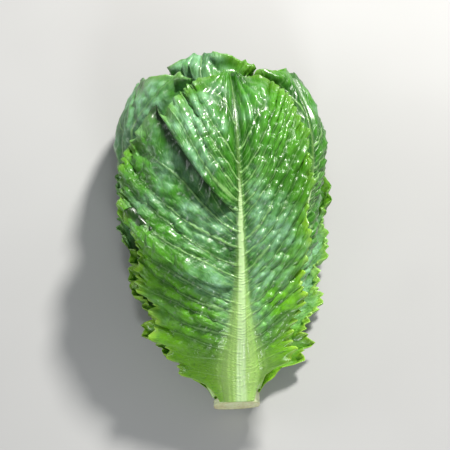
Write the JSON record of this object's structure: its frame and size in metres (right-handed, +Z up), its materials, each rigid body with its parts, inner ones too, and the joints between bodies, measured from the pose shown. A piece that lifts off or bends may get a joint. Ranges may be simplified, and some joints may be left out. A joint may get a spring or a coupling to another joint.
{
  "type": "romaine lettuce head",
  "caption": "Head of romaine lettuce lying on its side: a cut stem, long ruffled leaves wrapped over one another, and a heart of small leaves between them.",
  "frame": {"origin": "on the table under the middle of the head's box", "axes": "+Y from the cut stem to the leaf tips, +Z up through the top leaf, +X to the right seen from the stem"},
  "size_m": [0.1708, 0.269, 0.1103],
  "materials": {
    "leaf": "waxy green leaf, deep green blade, yellow-green ruffled edge, pale midrib and side veins",
    "inner": "waxy lighter green inner leaf with a pale midrib",
    "heart": "pale yellow-green young leaves",
    "stem": "pale cut stem, moist, browned a little at the cut"
  },
  "bodies": {
    "root": {"stem": "stem", "heart": "heart", "leaf_01": "leaf", "leaf_02": "leaf", "leaf_03": "leaf", "leaf_04": "leaf", "leaf_05": "leaf", "leaf_06": "leaf", "leaf_07": "inner", "leaf_08": "inner", "leaf_09": "inner", "leaf_10": "inner", "leaf_11": "inner"}
  },
  "joints": []
}
